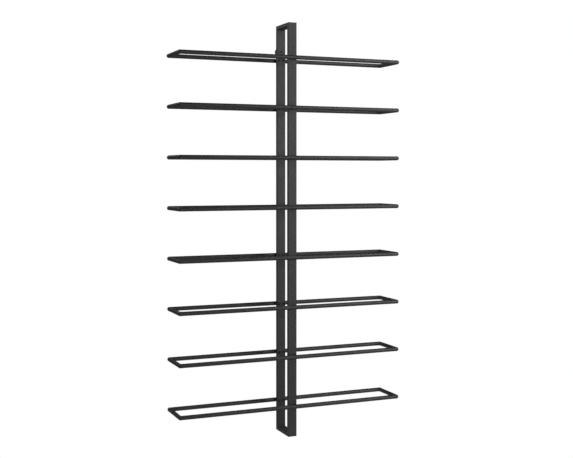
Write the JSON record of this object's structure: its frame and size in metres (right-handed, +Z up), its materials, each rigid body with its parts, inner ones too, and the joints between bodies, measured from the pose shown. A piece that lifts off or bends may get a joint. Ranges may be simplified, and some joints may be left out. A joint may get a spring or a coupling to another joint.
{
  "type": "wall-mounted storage rack",
  "caption": "Tall wall rack of black powder-coated steel: a narrow flat-bar spine with open rectangular round-rod shelf loops around it, for storage and display.",
  "frame": {"origin": "on the wall plane, midway between the two wall screw holes", "axes": "+Z up, +X along the shelves to the right as seen from the room, +Y into the wall"},
  "size_m": [0.8, 0.138, 1.388],
  "materials": {
    "spine_powder_coat": "matt black powder coat with a fine texture",
    "shelf_powder_coat": "matt black powder coat with a fine texture",
    "standoff_coat": "matt black powder coat on turned steel",
    "black_screws": "black oxide, slightly oily sheen"
  },
  "bodies": {
    "root": {"front_shelf_screws": "black_screws", "lower_wall_standoff": "standoff_coat", "rear_shelf_screws": "black_screws", "shelf_1_front_rail": "shelf_powder_coat", "shelf_1_left_end": "shelf_powder_coat", "shelf_1_rear_rail": "shelf_powder_coat", "shelf_1_right_end": "shelf_powder_coat", "shelf_2_front_rail": "shelf_powder_coat", "shelf_2_left_end": "shelf_powder_coat", "shelf_2_rear_rail": "shelf_powder_coat", "shelf_2_right_end": "shelf_powder_coat", "shelf_3_front_rail": "shelf_powder_coat", "shelf_3_left_end": "shelf_powder_coat", "shelf_3_rear_rail": "shelf_powder_coat", "shelf_3_right_end": "shelf_powder_coat", "shelf_4_front_rail": "shelf_powder_coat", "shelf_4_left_end": "shelf_powder_coat", "shelf_4_rear_rail": "shelf_powder_coat", "shelf_4_right_end": "shelf_powder_coat", "shelf_5_front_rail": "shelf_powder_coat", "shelf_5_left_end": "shelf_powder_coat", "shelf_5_rear_rail": "shelf_powder_coat", "shelf_5_right_end": "shelf_powder_coat", "shelf_6_front_rail": "shelf_powder_coat", "shelf_6_left_end": "shelf_powder_coat", "shelf_6_rear_rail": "shelf_powder_coat", "shelf_6_right_end": "shelf_powder_coat", "shelf_7_front_rail": "shelf_powder_coat", "shelf_7_left_end": "shelf_powder_coat", "shelf_7_rear_rail": "shelf_powder_coat", "shelf_7_right_end": "shelf_powder_coat", "shelf_8_front_rail": "shelf_powder_coat", "shelf_8_left_end": "shelf_powder_coat", "shelf_8_rear_rail": "shelf_powder_coat", "shelf_8_right_end": "shelf_powder_coat", "spine_bottom_bar": "spine_powder_coat", "spine_front_upright": "spine_powder_coat", "spine_rear_upright": "spine_powder_coat", "spine_top_bar": "spine_powder_coat", "upper_wall_standoff": "standoff_coat"}
  },
  "joints": []
}
